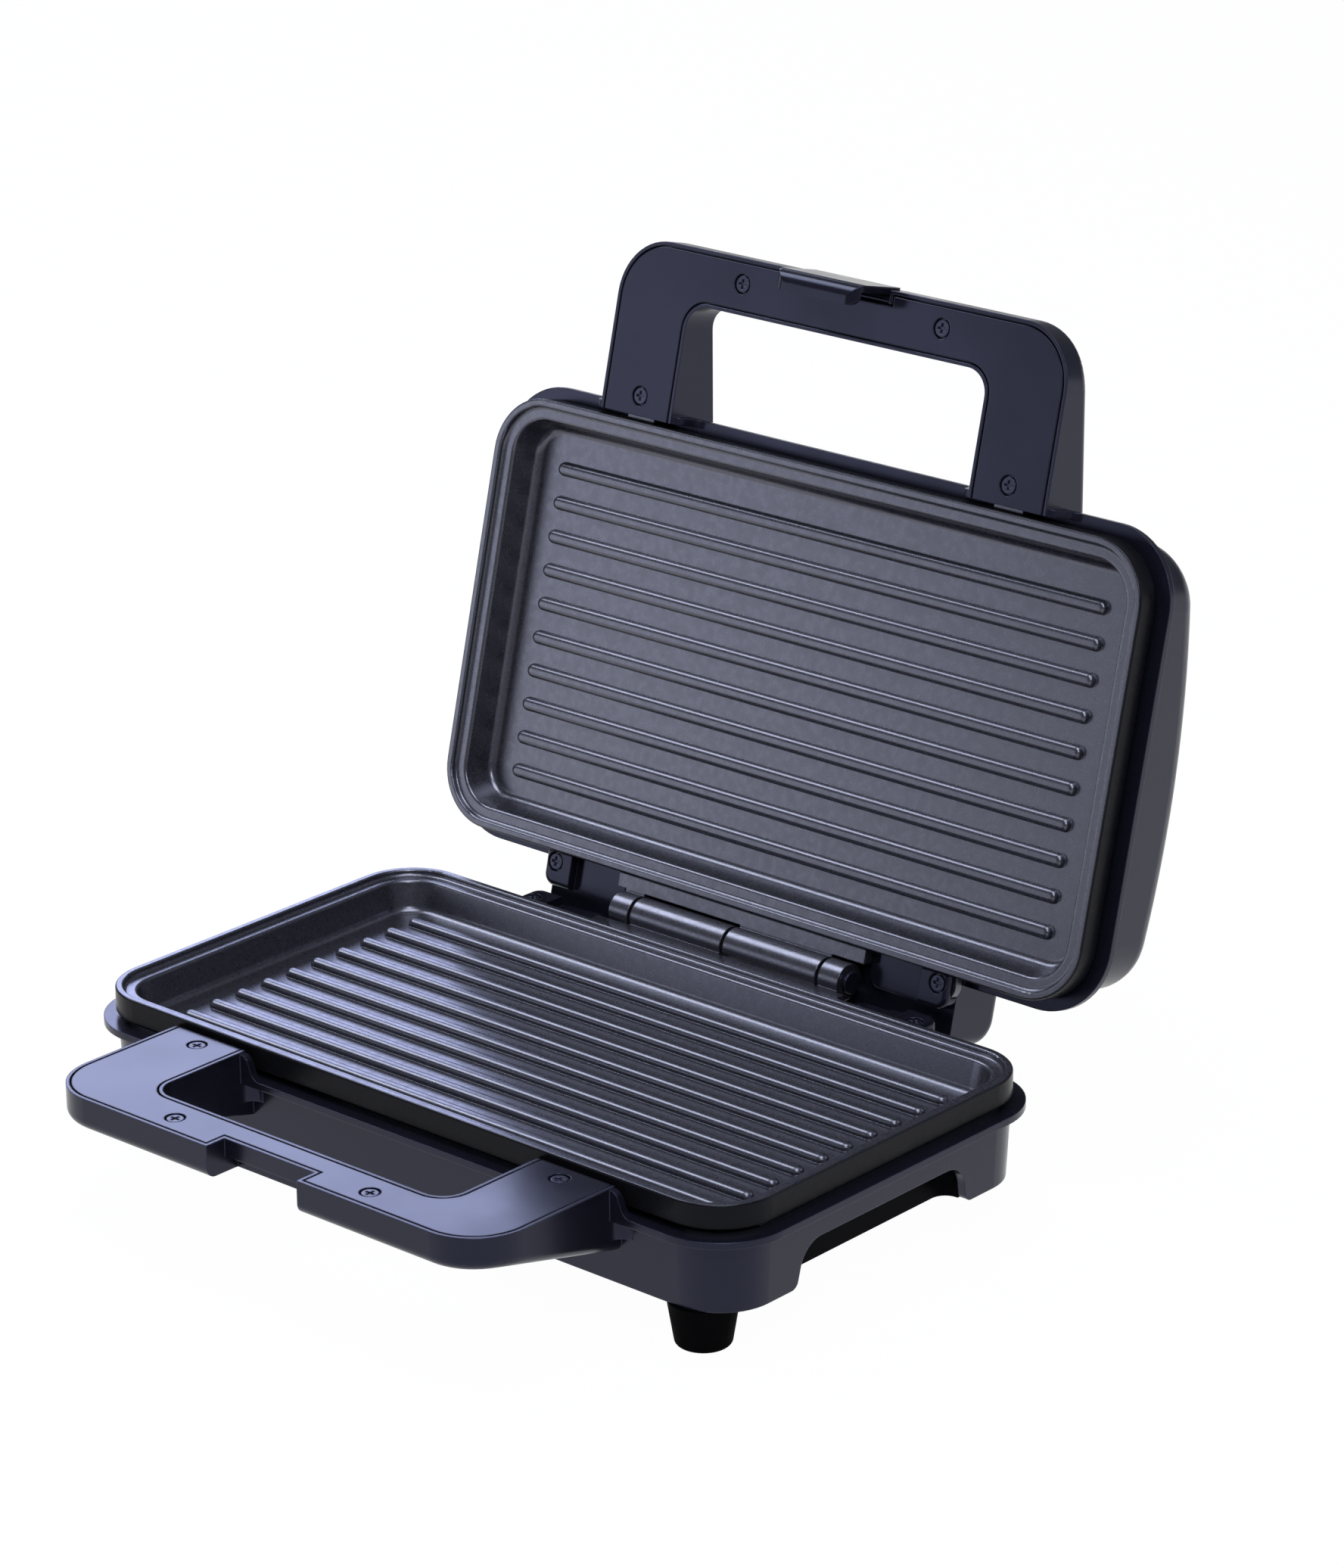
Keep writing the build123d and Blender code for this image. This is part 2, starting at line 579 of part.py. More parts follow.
def casing_top(body, hooked):
    """Body of a casing with what both halves share: flange, hinge blocks, handle and fairings."""
    handle = handle_frame(hooked)
    blocks = hinge_blocks(BLOCK_BACK, BLOCK_DEPTH) if hooked else hinge_blocks(TAIL_BACK, TAIL_DEPTH)
    arm_edges = [
        (half * edge, half * side)
        for edge, side in ((HANDLE_WIDTH / 2, 1), (WINDOW_WIDTH / 2, -1))
        for half in (-1, 1)
    ]
    blends = [fairing(*place) for place in arm_edges] + [root_fillet(*place) for place in arm_edges]
    with BuildPart() as top:
        add(body)
        with BuildSketch(Plane.XY.offset(FLANGE_BOTTOM)):
            plate_outline(-FLANGE_OVERHANG)
        extrude(amount=FLANGE_THICKNESS)
        add(handle)
        add(blocks)
        for blend in blends:
            add(blend)
        with BuildSketch(Plane.XY.offset(EAR_BOTTOM)):
            with Locations(*REAR_EARS, *FRONT_EARS):
                Circle(SCREW_SHANK_RADIUS + SCREW_FIT)
        extrude(amount=-EAR_SCREW_LENGTH, mode=Mode.SUBTRACT)
    return top.part


def hinge_caps():
    """Caps that close the hinge blocks over the plate's rear ears, sunk beside the screw bosses."""
    ear_slot = EAR_RADIUS + SEAT_GAP
    with BuildPart() as caps:
        with BuildSketch(Plane.XY.offset(EAR_BOTTOM)) as plan:
            for side in (-1, 1):
                span(*sorted((side * BLOCK_INNER, side * BLOCK_OUTER)), BLOCK_FRONT, BLOCK_BACK)
            fillet(plan.vertices().group_by(Axis.Y)[-1], BLOCK_ROUND)
        extrude(amount=CAP_TOP - EAR_BOTTOM)
        fillet(edges_at(caps, CAP_TOP).sort_by(Axis.Y)[2:], CAP_ROUND)
        with BuildSketch(Plane.XY.offset(EAR_BOTTOM)):
            for x, y in REAR_EARS:
                with Locations((x, y)):
                    Circle(ear_slot)
                span(x - ear_slot, x + ear_slot, BLOCK_FRONT, y)
        extrude(amount=EAR_THICKNESS + SEAT_GAP, mode=Mode.SUBTRACT)
        with BuildSketch(Plane.XY.offset(CAP_TOP)):
            boss_edge = HINGE_SCREW_X - ear_slot - CAP_WALL
            for side in (-1, 1):
                span(*sorted((side * BLOCK_INNER, side * boss_edge)), BLOCK_FRONT, BLOCK_BACK)
        extrude(amount=-CAP_RECESS, mode=Mode.SUBTRACT)
        with Locations(*[(x, y, CAP_TOP) for x, y in REAR_EARS]):
            CounterBoreHole(SCREW_HOLE, SCREW_HEAD_RADIUS + SCREW_RING, HEAD_SEAT)
    return caps.part


def lower_casing():
    """Lower shell with arched sides, screw columns, cord inlet and the heels that stop the lid."""
    arch_top = -LOWER_DEPTH + ARCH_RISE
    arch_lean = degrees(atan2(ARCH_RISE, ARCH_FLARE))
    swing = radians(OPEN_ANGLE)
    heel_x = (BLOCK_INNER + BLOCK_OUTER) / 2
    heel_front = BLOCK_BACK - SEAT_GAP
    heel_low = EAR_BOTTOM - STOP_HEIGHT

    def heel_back(z):
        """Distance behind the hinge axis that just clears the open lid's blocks at a height."""
        return (-EAR_BOTTOM - HINGE_PLAY - z * cos(swing)) / sin(swing)

    with BuildPart() as walls:
        with BuildSketch(Plane.XY.offset(FLANGE_MID)):
            plate_outline(wall_inset(FLANGE_MID) - WALL_THICKNESS)
        extrude(amount=-LOWER_DEPTH - FLANGE_MID, taper=WALL_DRAFT)
    top = casing_top(walls.part, hooked=True)
    with BuildPart() as casing:
        add(top)
        with BuildSketch(Plane.XY.offset(FLANGE_TOP)):
            plate_outline(wall_inset(FLANGE_TOP))
        extrude(amount=-LOWER_DEPTH - FLANGE_TOP, taper=WALL_DRAFT, mode=Mode.SUBTRACT)
        with BuildSketch(Plane.YZ) as arch:
            with Locations((PLATE_MID, (arch_top - LOWER_DEPTH) / 2)):
                Trapezoid(ARCH_LENGTH + ARCH_FLARE, ARCH_RISE, arch_lean)
            fillet(arch.vertices().group_by(Axis.Y)[-1], ARCH_ROUND)
        extrude(amount=PLATE_WIDTH, both=True, mode=Mode.SUBTRACT)
        corners = edges_at(casing, -LOWER_DEPTH).filter_by(Axis.X)
        fillet(corners.filter_by(lambda edge: edge.length < 2 * WALL_THICKNESS), LEG_ROUND)

        with BuildSketch(Plane.XY.offset(BASE_TOP)):
            with Locations(*BASE_SCREWS):
                Circle(COLUMN_RADIUS)
        extrude(amount=UNDERSIDE - COLUMN_GAP - BASE_TOP)
        with BuildSketch(Plane.XY.offset(BASE_TOP)):
            with Locations(*BASE_SCREWS):
                Circle(SCREW_SHANK_RADIUS + SCREW_FIT)
        extrude(amount=BASE_SCREW_LENGTH, mode=Mode.SUBTRACT)

        for side in (-1, 1):
            with BuildSketch(Plane.YZ.offset(side * heel_x)):
                with BuildLine():
                    Polyline(
                        (heel_front, EAR_BOTTOM),
                        (heel_back(EAR_BOTTOM), EAR_BOTTOM),
                        (heel_back(heel_low), heel_low),
                        (heel_front, heel_low),
                        close=True,
                    )
                make_face()
            extrude(amount=STOP_WIDTH / 2, both=True)

        with BuildSketch(Plane.XZ.offset(-PLATE_BACK)):
            with Locations((0, -GLAND_DROP)):
                Circle(GLAND_RADIUS + SCREW_FIT)
        extrude(amount=PLATE_CORNER, mode=Mode.SUBTRACT)
    return casing.part


def crown(y):
    """Height of the lid's outside at a distance along the press."""
    return LID_CROWN - LID_DEPTH - sqrt(LID_CROWN ** 2 - (y - PLATE_MID - LID_CROWN_BACK) ** 2)


LENS_SEAT = crown(-LAMP_AHEAD) + WALL_THICKNESS + LENS_PAD


def lid_shell(top, thickness):
    """Solid below the level top that fills the lid up to a skin of this thickness."""
    with BuildPart() as shell:
        with BuildSketch(Plane.XY.offset(top)):
            plate_outline(wall_inset(top) - WALL_THICKNESS + thickness)
        extrude(amount=-LID_DEPTH - top, taper=WALL_DRAFT)
        with BuildSketch(Plane.YZ):
            with BuildLine():
                ThreePointArc(*[(y, crown(y) + thickness) for y in (PLATE_FRONT, PLATE_MID, PLATE_BACK)])
                Polyline(
                    (PLATE_BACK, crown(PLATE_BACK) + thickness),
                    (PLATE_BACK, top),
                    (PLATE_FRONT, top),
                    (PLATE_FRONT, crown(PLATE_FRONT) + thickness),
                )
            make_face()
        extrude(amount=PLATE_WIDTH, both=True, mode=Mode.INTERSECT)
        fillet(shell.faces().sort_by(Axis.Z)[0].edges(), LID_ROUND - thickness)
    return shell.part


def upper_casing():
    """Lid shell with a crowned outside, a shield behind the hinge and flat pads for the lenses."""
    hollow = lid_shell(FLANGE_TOP, WALL_THICKNESS)
    top = casing_top(lid_shell(FLANGE_MID, 0), hooked=False)
    with BuildPart() as casing:
        add(top)
        add(hollow, mode=Mode.SUBTRACT)
        with BuildSketch(Plane.YZ):
            span(BLOCK_FRONT, TAIL_BACK - BLOCK_ROUND, FLANGE_MID, EAR_BOTTOM)
        extrude(amount=BLOCK_INNER + BLOCK_ROUND, both=True)
        with BuildSketch(Plane.XY.offset(LENS_SEAT)):
            with Locations(*LAMPS):
                Circle(LENS_COLLAR + LENS_WALL)
        extrude(amount=-WALL_THICKNESS)
        with BuildSketch(Plane.XY.offset(LENS_SEAT)):
            with Locations(*LAMPS):
                Circle(LENS_RADIUS + SEAT_GAP)
        extrude(amount=-LID_DEPTH, mode=Mode.SUBTRACT)
    return casing.part


def heating_element():
    """Bent tubular heater under the plate, with both cold ends at the back."""
    side = PLATE_WIDTH / 2 - ELEMENT_INSET
    front = PLATE_FRONT + ELEMENT_FRONT
    back = PLATE_BACK - ELEMENT_BACK
    end = PLATE_BACK - ELEMENT_END_BACK
    with BuildPart() as element:
        with BuildLine(Plane.XY.offset(ELEMENT_Z)) as route:
            FilletPolyline(
                (-ELEMENT_END_X, end),
                (-ELEMENT_END_X, back),
                (-side, back),
                (-side, front),
                (side, front),
                (side, back),
                (ELEMENT_END_X, back),
                (ELEMENT_END_X, end),
                radius=ELEMENT_BEND,
            )
        with BuildSketch(Plane(route.line @ 0, z_dir=route.line % 0)):
            Circle(ELEMENT_RADIUS)
        sweep(path=route.line)
    return element.part


def reflector():
    """Thin sheet under the element, open round the thermostat."""
    half = PLATE_WIDTH / 2 - REFLECTOR_INSET
    with BuildPart() as sheet:
        with BuildSketch(Plane.XY.offset(REFLECTOR_TOP)):
            span(-half, half, PLATE_FRONT + REFLECTOR_INSET, PLATE_BACK - REFLECTOR_BACK)
            with Locations(*POSTS):
                Circle(SCREW_HOLE, mode=Mode.SUBTRACT)
            with Locations((0, PLATE_MID)):
                Circle(THERMOSTAT_RADIUS + LENS_WALL, mode=Mode.SUBTRACT)
        extrude(amount=-REFLECTOR_THICKNESS)
    return sheet.part


def thermostat():
    """Disc thermostat on the plate, with its cap and two blade terminals."""
    blade = THERMOSTAT_RADIUS / 2
    with BuildPart() as disc:
        with BuildSketch(Plane.XY.offset(UNDERSIDE)):
            with Locations((0, PLATE_MID)):
                Circle(THERMOSTAT_RADIUS)
        extrude(amount=-THERMOSTAT_HEIGHT / 2)
        with BuildSketch(Plane.XY.offset(UNDERSIDE - THERMOSTAT_HEIGHT / 2)):
            with Locations((0, PLATE_MID)):
                Circle(THERMOSTAT_RADIUS - LENS_WALL)
        extrude(amount=-THERMOSTAT_HEIGHT / 2)
        with BuildSketch(Plane.XY.offset(UNDERSIDE - THERMOSTAT_HEIGHT)):
            with Locations((-blade, PLATE_MID), (blade, PLATE_MID)):
                Rectangle(REFLECTOR_THICKNESS, blade)
        extrude(amount=-THERMOSTAT_BLADE)
    return disc.part


def thermal_fuse():
    """Cylindrical fuse lying against the lower plate between the heater's legs."""
    with BuildPart() as fuse:
        with BuildSketch(Plane.YZ.offset(THERMOSTAT_RADIUS + FUSE_LENGTH / 2)):
            with Locations((PLATE_MID, UNDERSIDE - FUSE_RADIUS - SEAT_GAP)):
                Circle(FUSE_RADIUS)
        extrude(amount=FUSE_LENGTH)
        fillet(fuse.edges(), FUSE_RADIUS / 4)
    return fuse.part


def base_recesses(grow):
    """Two bays in the base behind the arches, cut from the sketch in hand."""
    with Locations(*((side * (PLATE_WIDTH / 2 - BASE_INSET), PLATE_MID) for side in (-1, 1))):
        RectangleRounded(
            2 * (BASE_RECESS + grow),
            ARCH_LENGTH + ARCH_FLARE + 2 * grow,
            BASE_RECESS_ROUND + grow,
            mode=Mode.SUBTRACT,
        )


def base_cover():
    """Bottom pan, turned up round the bays behind the arches, with holes for its screws and the feet."""
    with BuildPart() as cover:
        with BuildSketch(Plane.XY.offset(BASE_BOTTOM)):
            plate_outline(BASE_INSET)
            base_recesses(0)
        extrude(amount=BASE_THICKNESS + BASE_UPSTAND)
        with BuildSketch(Plane.XY.offset(BASE_TOP)):
            plate_outline(BASE_INSET - BASE_FIT)
            base_recesses(BASE_THICKNESS)
        extrude(amount=2 * BASE_UPSTAND, mode=Mode.SUBTRACT)
        with BuildSketch(Plane.XY.offset(BASE_BOTTOM)):
            with Locations(*BASE_SCREWS):
                Circle(SCREW_HOLE)
            with Locations(*FRONT_FEET, *REAR_FEET):
                Circle(FOOT_STEM + SCREW_FIT)
        extrude(amount=BASE_THICKNESS, mode=Mode.SUBTRACT)
    return cover.part


def feet(points):
    """Tapered feet with necks that seat on the base cover and stems that push through it."""
    floor = -HINGE_HEIGHT
    with BuildPart() as group:
        with BuildSketch(Plane.XZ):
            with BuildLine():
                Polyline(
                    (0, floor),
                    (FOOT_BOTTOM_RADIUS, floor),
                    (FOOT_TOP_RADIUS, -LOWER_DEPTH - SEAT_GAP),
                    (FOOT_NECK, -LOWER_DEPTH - SEAT_GAP),
                    (FOOT_NECK, BASE_BOTTOM),
                    (FOOT_STEM, BASE_BOTTOM),
                    (FOOT_STEM, BASE_TOP),
                    (0, BASE_TOP),
                    close=True,
                )
            make_face()
        revolve(axis=Axis.Z)
        fillet(edges_at(group, floor), FOOT_ROUND)
    foot = group.part
    with BuildPart() as placed:
        with Locations(*points):
            add(foot)
    return placed.part


def terminal_block():
    """Screw terminal strip on the base cover, with a bore for each wire."""
    wire = TERMINAL_HEIGHT / 4
    with BuildPart() as block:
        with BuildSketch(Plane.XY.offset(BASE_TOP)):
            with Locations((-TERMINAL_X, TERMINAL_Y)):
                Rectangle(TERMINAL_LENGTH, TERMINAL_DEPTH)
        extrude(amount=TERMINAL_HEIGHT)
        with BuildSketch(Plane.XZ.offset(-TERMINAL_Y)):
            with Locations((-TERMINAL_X, BASE_TOP + TERMINAL_HEIGHT / 2)):
                with GridLocations(TERMINAL_LENGTH / 3, 1, 3, 1):
                    Circle(wire)
        extrude(amount=TERMINAL_DEPTH, both=True, mode=Mode.SUBTRACT)
    return block.part


def cord_gland():
    """Bush in the back wall that the mains lead passes through."""
    wall_out = PLATE_BACK - WALL_INSET
    collar = wall_out + GLAND_OUT
    inside = wall_out - WALL_THICKNESS - GLAND_IN
    with BuildPart() as gland:
        with BuildSketch(Plane.XZ.offset(-collar)):
            with Locations((0, -GLAND_DROP)):
                Circle(GLAND_COLLAR)
        extrude(amount=GLAND_OUT)
        with BuildSketch(Plane.XZ.offset(-wall_out)):
            with Locations((0, -GLAND_DROP)):
                Circle(GLAND_RADIUS)
        extrude(amount=wall_out - inside)
        with BuildSketch(Plane.XZ.offset(-collar)):
            with Locations((0, -GLAND_DROP)):
                Circle(GLAND_BORE)
        extrude(amount=collar - inside, mode=Mode.SUBTRACT)
    return gland.part


def hinge_pin():
    """Headed pin through every knuckle and lug."""
    with BuildPart() as pin:
        with BuildSketch(Plane.YZ.offset(-LUG_END - HINGE_PLAY - PIN_HEAD_HEIGHT)):
            Circle(PIN_RADIUS)
        extrude(amount=2 * LUG_END + 2 * HINGE_PLAY + PIN_HEAD_HEIGHT)
        with BuildSketch(Plane.YZ.offset(LUG_END + HINGE_PLAY)):
            Circle(PIN_HEAD_RADIUS)
        extrude(amount=PIN_HEAD_HEIGHT)
    return pin.part


def pin_clip():
    """Open ring that keeps the pin's plain end in place."""
    with BuildPart() as clip:
        with BuildSketch(Plane.YZ.offset(-LUG_END - HINGE_PLAY - PIN_HEAD_HEIGHT)):
            Circle(PIN_HEAD_RADIUS)
            Circle(PIN_RADIUS + PIN_FIT, mode=Mode.SUBTRACT)
            span(0, PIN_HEAD_RADIUS, -PIN_HEAD_HEIGHT / 2, PIN_HEAD_HEIGHT / 2, mode=Mode.SUBTRACT)
        extrude(amount=PIN_HEAD_HEIGHT)
    return clip.part


def latch():
    """Hooked clip that swings on its pin in the lid handle's notch."""
    front = HANDLE_FRONT - LATCH_PROUD
    inner = front + LATCH_THICKNESS
    pivot_y, pivot_z = LATCH_PIVOT
    with BuildPart() as clip:
        with BuildSketch(Plane.YZ) as profile:
            span(front, inner, pivot_z - LATCH_TAIL, LATCH_TOP)
            span(front, front + LATCH_HOOK, LATCH_TOP - LATCH_LIP, LATCH_TOP)
            corners = profile.vertices()
            outside = corners.sort_by_distance((front, LATCH_TOP))[0]
            inside = corners.sort_by_distance((inner, LATCH_TOP - LATCH_LIP))[0]
            tip = corners.group_by(Axis.X)[-1]
            fillet(outside, LATCH_ROUND)
            fillet(inside, LATCH_ROUND - LATCH_THICKNESS)
            fillet(tip, LATCH_LIP / 3)
            span(front, pivot_y, pivot_z - LATCH_THICKNESS / 2, pivot_z + LATCH_THICKNESS / 2)
            with Locations(LATCH_PIVOT):
                Circle(LATCH_BARREL)
                Circle(LATCH_PIN_RADIUS + PIN_FIT, mode=Mode.SUBTRACT)
        extrude(amount=LATCH_WIDTH / 2, both=True)
        with BuildSketch(Plane.XZ):
            with Locations((0, HANDLE_BOTTOM)):
                RectangleRounded(LATCH_WIDTH, 2 * (LATCH_TOP - HANDLE_BOTTOM), LATCH_CORNER)
        extrude(amount=-2 * HANDLE_FRONT, mode=Mode.INTERSECT)
        with BuildSketch(Plane.XY.offset(LATCH_TOP)):
            tip_y = front + LATCH_HOOK
            span(-LATCH_WIDTH, LATCH_WIDTH, tip_y - LATCH_CORNER, tip_y + LATCH_CORNER)
            with Locations((0, front)):
                RectangleRounded(LATCH_WIDTH, 2 * LATCH_HOOK, LATCH_CORNER, mode=Mode.SUBTRACT)
        extrude(amount=-LATCH_LIP - LATCH_ROUND, mode=Mode.SUBTRACT)
    return clip.part


def latch_pin():
    """Plain pin that the latch swings on."""
    with BuildPart() as pin:
        with BuildSketch(Plane.YZ):
            with Locations(LATCH_PIVOT):
                Circle(LATCH_PIN_RADIUS)
        extrude(amount=NOTCH_WIDTH / 2 + LATCH_PIN_SEAT - SEAT_GAP, both=True)
    return pin.part


def indicator_lenses():
    """Two clear caps that stand through the lid."""
    tip = crown(-LAMP_AHEAD) - LENS_RISE
    with BuildPart() as lenses:
        with BuildSketch(Plane.XY.offset(LENS_SEAT)):
            with Locations(*LAMPS):
                Circle(LENS_COLLAR)
        extrude(amount=LENS_WALL)
        with BuildSketch(Plane.XY.offset(LENS_SEAT)):
            with Locations(*LAMPS):
                Circle(LENS_RADIUS)
        extrude(amount=tip - LENS_SEAT)
        fillet(edges_at(lenses, tip), LENS_RISE)
        with BuildSketch(Plane.XY.offset(LENS_SEAT + LENS_WALL)):
            with Locations(*LAMPS):
                Circle(LENS_RADIUS - LENS_WALL)
        extrude(amount=tip + LENS_RISE - LENS_SEAT - LENS_WALL, mode=Mode.SUBTRACT)
    return lenses.part


def indicator_lamps():
    """Small lamps that stand in the lenses."""
    bottom = crown(-LAMP_AHEAD) + SEAT_GAP
    with BuildPart() as lamps:
        with BuildSketch(Plane.XY.offset(bottom)):
            with Locations(*LAMPS):
                Circle(LENS_RADIUS - LENS_WALL - SEAT_GAP)
        extrude(amount=LAMP_LENGTH)
    return lamps.part


# Where each half stands
OPEN = radians(OPEN_ANGLE)
LOWER = Plane(origin=(0, HINGE_Y, HINGE_HEIGHT))
LID = Plane(
    origin=(0, HINGE_Y, HINGE_HEIGHT),
    x_dir=(-1, 0, 0),
    z_dir=(0, -sin(OPEN), -cos(OPEN)),
)


def both_halves():
    """Pieces that are the same in the lower half and in the lid."""
    cover_screws = screws(FRONT_EARS, HANDLE_TOP - SCREW_RECESS, ARM_SHANK)
    cover_screws += screws(BAR_SCREWS, HANDLE_TOP - SCREW_RECESS, BAR_SHANK)
    return {
        "grill_plate": grill_plate(),
        "handle_screws": cover_screws,
        "hinge_caps": hinge_caps(),
        "hinge_screws": screws(REAR_EARS, CAP_TOP - SCREW_RECESS, HINGE_SHANK),
        "heating_element": heating_element(),
        "reflector": reflector(),
        "reflector_screws": screws(POSTS, POST_SCREW_HEAD, POST_SHANK, facing=-1),
        "thermostat": thermostat(),
    }


def main():
    shared = both_halves()
    pieces = {}
    for name, piece in shared.items():
        pieces[f"lower_{name}"] = (piece, LOWER)
        pieces[f"upper_{name}"] = (piece, LID)
    pieces["lower_handle_cover"] = (handle_cover(NOTCH_BACK), LOWER)
    pieces["upper_handle_cover"] = (handle_cover(HOOD_FRONT), LID)
    pieces["lower_casing"] = (lower_casing(), LOWER)
    pieces["base_cover"] = (base_cover(), LOWER)
    pieces["base_cover_screws"] = (screws(BASE_SCREWS, BASE_SCREW_HEAD, BASE_SHANK, facing=-1), LOWER)
    pieces["front_feet"] = (feet(FRONT_FEET), LOWER)
    pieces["rear_feet"] = (feet(REAR_FEET), LOWER)
    pieces["thermal_fuse"] = (thermal_fuse(), LOWER)
    pieces["terminal_block"] = (terminal_block(), LOWER)
    pieces["cord_gland"] = (cord_gland(), LOWER)
    pieces["hinge_pin"] = (hinge_pin(), LOWER)
    pieces["hinge_pin_clip"] = (pin_clip(), LOWER)
    pieces["upper_casing"] = (upper_casing(), LID)
    pieces["indicator_lenses"] = (indicator_lenses(), LID)
    pieces["indicator_lamps"] = (indicator_lamps(), LID)
    pieces["latch"] = (latch(), LID)
    pieces["latch_pin"] = (latch_pin(), LID)

    os.makedirs("parts", exist_ok=True)
    for name, (piece, place) in pieces.items():
        placed = piece.moved(place.location)
        placed.label = name
        export_step(placed, f"parts/{name}.step")


main()
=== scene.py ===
import json
from math import radians

import bpy
from mathutils import Euler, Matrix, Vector

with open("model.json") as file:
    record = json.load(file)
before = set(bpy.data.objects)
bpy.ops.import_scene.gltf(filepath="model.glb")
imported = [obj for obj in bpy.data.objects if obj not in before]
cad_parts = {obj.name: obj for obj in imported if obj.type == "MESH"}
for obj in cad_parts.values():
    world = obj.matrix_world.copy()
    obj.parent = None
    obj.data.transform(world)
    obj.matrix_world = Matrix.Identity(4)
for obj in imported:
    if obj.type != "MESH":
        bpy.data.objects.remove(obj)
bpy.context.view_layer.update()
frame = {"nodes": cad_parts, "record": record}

NODES = frame["nodes"]

# Camera, fitted to the photograph, in metres and degrees
CAMERA_PLACE = (0.93209, -1.00592, 0.62199)
CAMERA_TURN = (69.548, 0.4725, 41.5397)
CAMERA_NEAR = 0.05
FOCAL_PIXELS = 7174.4
IMAGE_WIDTH = 1776
SENSOR_WIDTH = 36.0

# Plates as the part has them, in metres: the hinge axis, and the plates' outline about it
HINGE_PLACE = (0.0, 0.06475, 0.0442)
OPEN_ANGLE = 104.19
PLATE_HALF = (0.1175, 0.06375)
PLATE_MIDDLE = -0.07385
PLATE_CORNER = 0.0175

# Distances from that outline, in metres, within which the skirt's painted shade is full and at
# which it ends
SKIRT_FULL = 0.0002
SKIRT_END = 0.0006

# Tones, in linear light
CASING_BLACK = (0.0046, 0.0048, 0.0085)
COVER_BLACK = (0.0056, 0.0058, 0.0095)
BASE_BLACK = (0.0008, 0.0008, 0.0010)
RUBBER_BLACK = (0.0012, 0.0012, 0.0014)
RUBBER_PALE = (0.0030, 0.0030, 0.0033)
PLATE_DARK = (0.004, 0.004, 0.005)
PLATE_PALE = (0.026, 0.026, 0.033)
# Painted shade: near black on the plates' outer skirt, in place of the shade and dark reflection
# it has there
PAINTED_SKIRT_SHADE = (0.004, 0.004, 0.005)
STEEL_GREY = (0.55, 0.55, 0.56)
SHEATH_BROWN = (0.20, 0.18, 0.17)
SHEET_GREY = (0.75, 0.75, 0.76)
CERAMIC_DARK = (0.70, 0.66, 0.58)
CERAMIC_PALE = (0.82, 0.79, 0.72)
LENS_RED = (0.40, 0.02, 0.015)
LAMP_AMBER = (0.90, 0.55, 0.40)
FLOOR_GREY = (0.86, 0.86, 0.87)
AMBIENT_BLUE = (0.86, 0.89, 1.0)
BLUE_SHEEN = (0.60, 0.64, 1.0)
PLATE_SHEEN = (0.80, 0.82, 1.0)

# The middle of a noise's values, which is spread over a range of roughness
NOISE_MIDDLE = (0.3, 0.7)

# Edges: how closely a rounded normal follows the true one where wear is full and where it ends
EDGE_SAMPLES = 4
EDGE_MATCH = (0.80, 0.99)

# Plastic, with lengths in metres
PLASTIC_EDGE = 0.0005
PLASTIC_WEAR = 4.0
PLASTIC_POLISH_SCALE = 38.0
PLASTIC_GRAIN_DEPTH = 0.00005
PLASTIC_IOR = 1.5

# Non-stick coating
COAT_EDGE = 0.0004
COAT_FLAKE_SCALE = 2300.0
COAT_FLAKE_RANGE = (0.40, 0.70)
COAT_SATIN_SCALE = 420.0
COAT_SATIN = (0.25, 0.32)
COAT_GRAIN_SCALE = 2600.0
COAT_GRAIN_STRENGTH = 0.10
COAT_GRAIN_DEPTH = 0.00006
COAT_NOISE_ROUGHNESS = 0.6
COAT_IOR = 1.62
# Reflection left on the skirt under its painted shade
SKIRT_GLOSS = 0.08

# Metal; DRAWN stretches the streaks along X
STREAK_SCALE = 300.0
STREAK_DULL = 0.7
STREAK_STRENGTH = 0.15
STREAK_DEPTH = 0.00003
DRAWN = (0.05, 1.0, 1.0)
EVEN = (1.0, 1.0, 1.0)

# Rubber and ceramic
MOTTLE_SCALE = 160.0
MOTTLE_SPREAD = 0.1
DRY_STRENGTH = 0.4
DRY_DEPTH = 0.0001

# Lenses and lamps
RIPPLE_SCALE = 500.0
RIPPLE_POLISH = (0.05, 0.14)
RIPPLE_STRENGTH = 0.2
RIPPLE_DEPTH = 0.00005
LENS_CLEARNESS = 0.6

# Studio
FLOOR_SIDES = 96
FLOOR_RADIUS = 12.0
FLOOR_DROP = 0.0002
FLOOR_ROUGHNESS = 0.9
BACKDROP_GLOW = 1.0
BACKDROP_SHARE = 0.98
AMBIENT_STRENGTH = 0.22

# Lamps: name, place and target in metres, width and height, watts, colour
LAMPS = (
    ("key", (0.25, -0.30, 1.60), (0, 0, 0.08), (0.9, 0.9), 18.0, (0.90, 0.92, 1.0)),
    ("sheen", (-1.66, 1.17, 0.85), (0, 0, 0.08), (0.85, 0.75), 11.0, (0.60, 0.66, 1.0)),
    ("left", (-1.05, -0.05, 1.30), (0, 0, 0.08), (0.7, 0.7), 12.0, (0.84, 0.88, 1.0)),
    ("rim", (1.3, 1.2, 0.9), (0, 0, 0.12), (0.4, 0.9), 5.0, (0.80, 0.85, 1.0)),
    ("front", (-1.45, -1.4, 0.3), (0, 0, 0.12), (0.8, 0.6), 3.2, (0.85, 0.88, 1.0)),
    ("corner", (0.85, -0.80, 1.05), (0, 0.05, 0.10), (0.35, 0.35), 7.0, (0.88, 0.91, 1.0)),
)


def link(tree, source, target):
    tree.links.new(source, target)


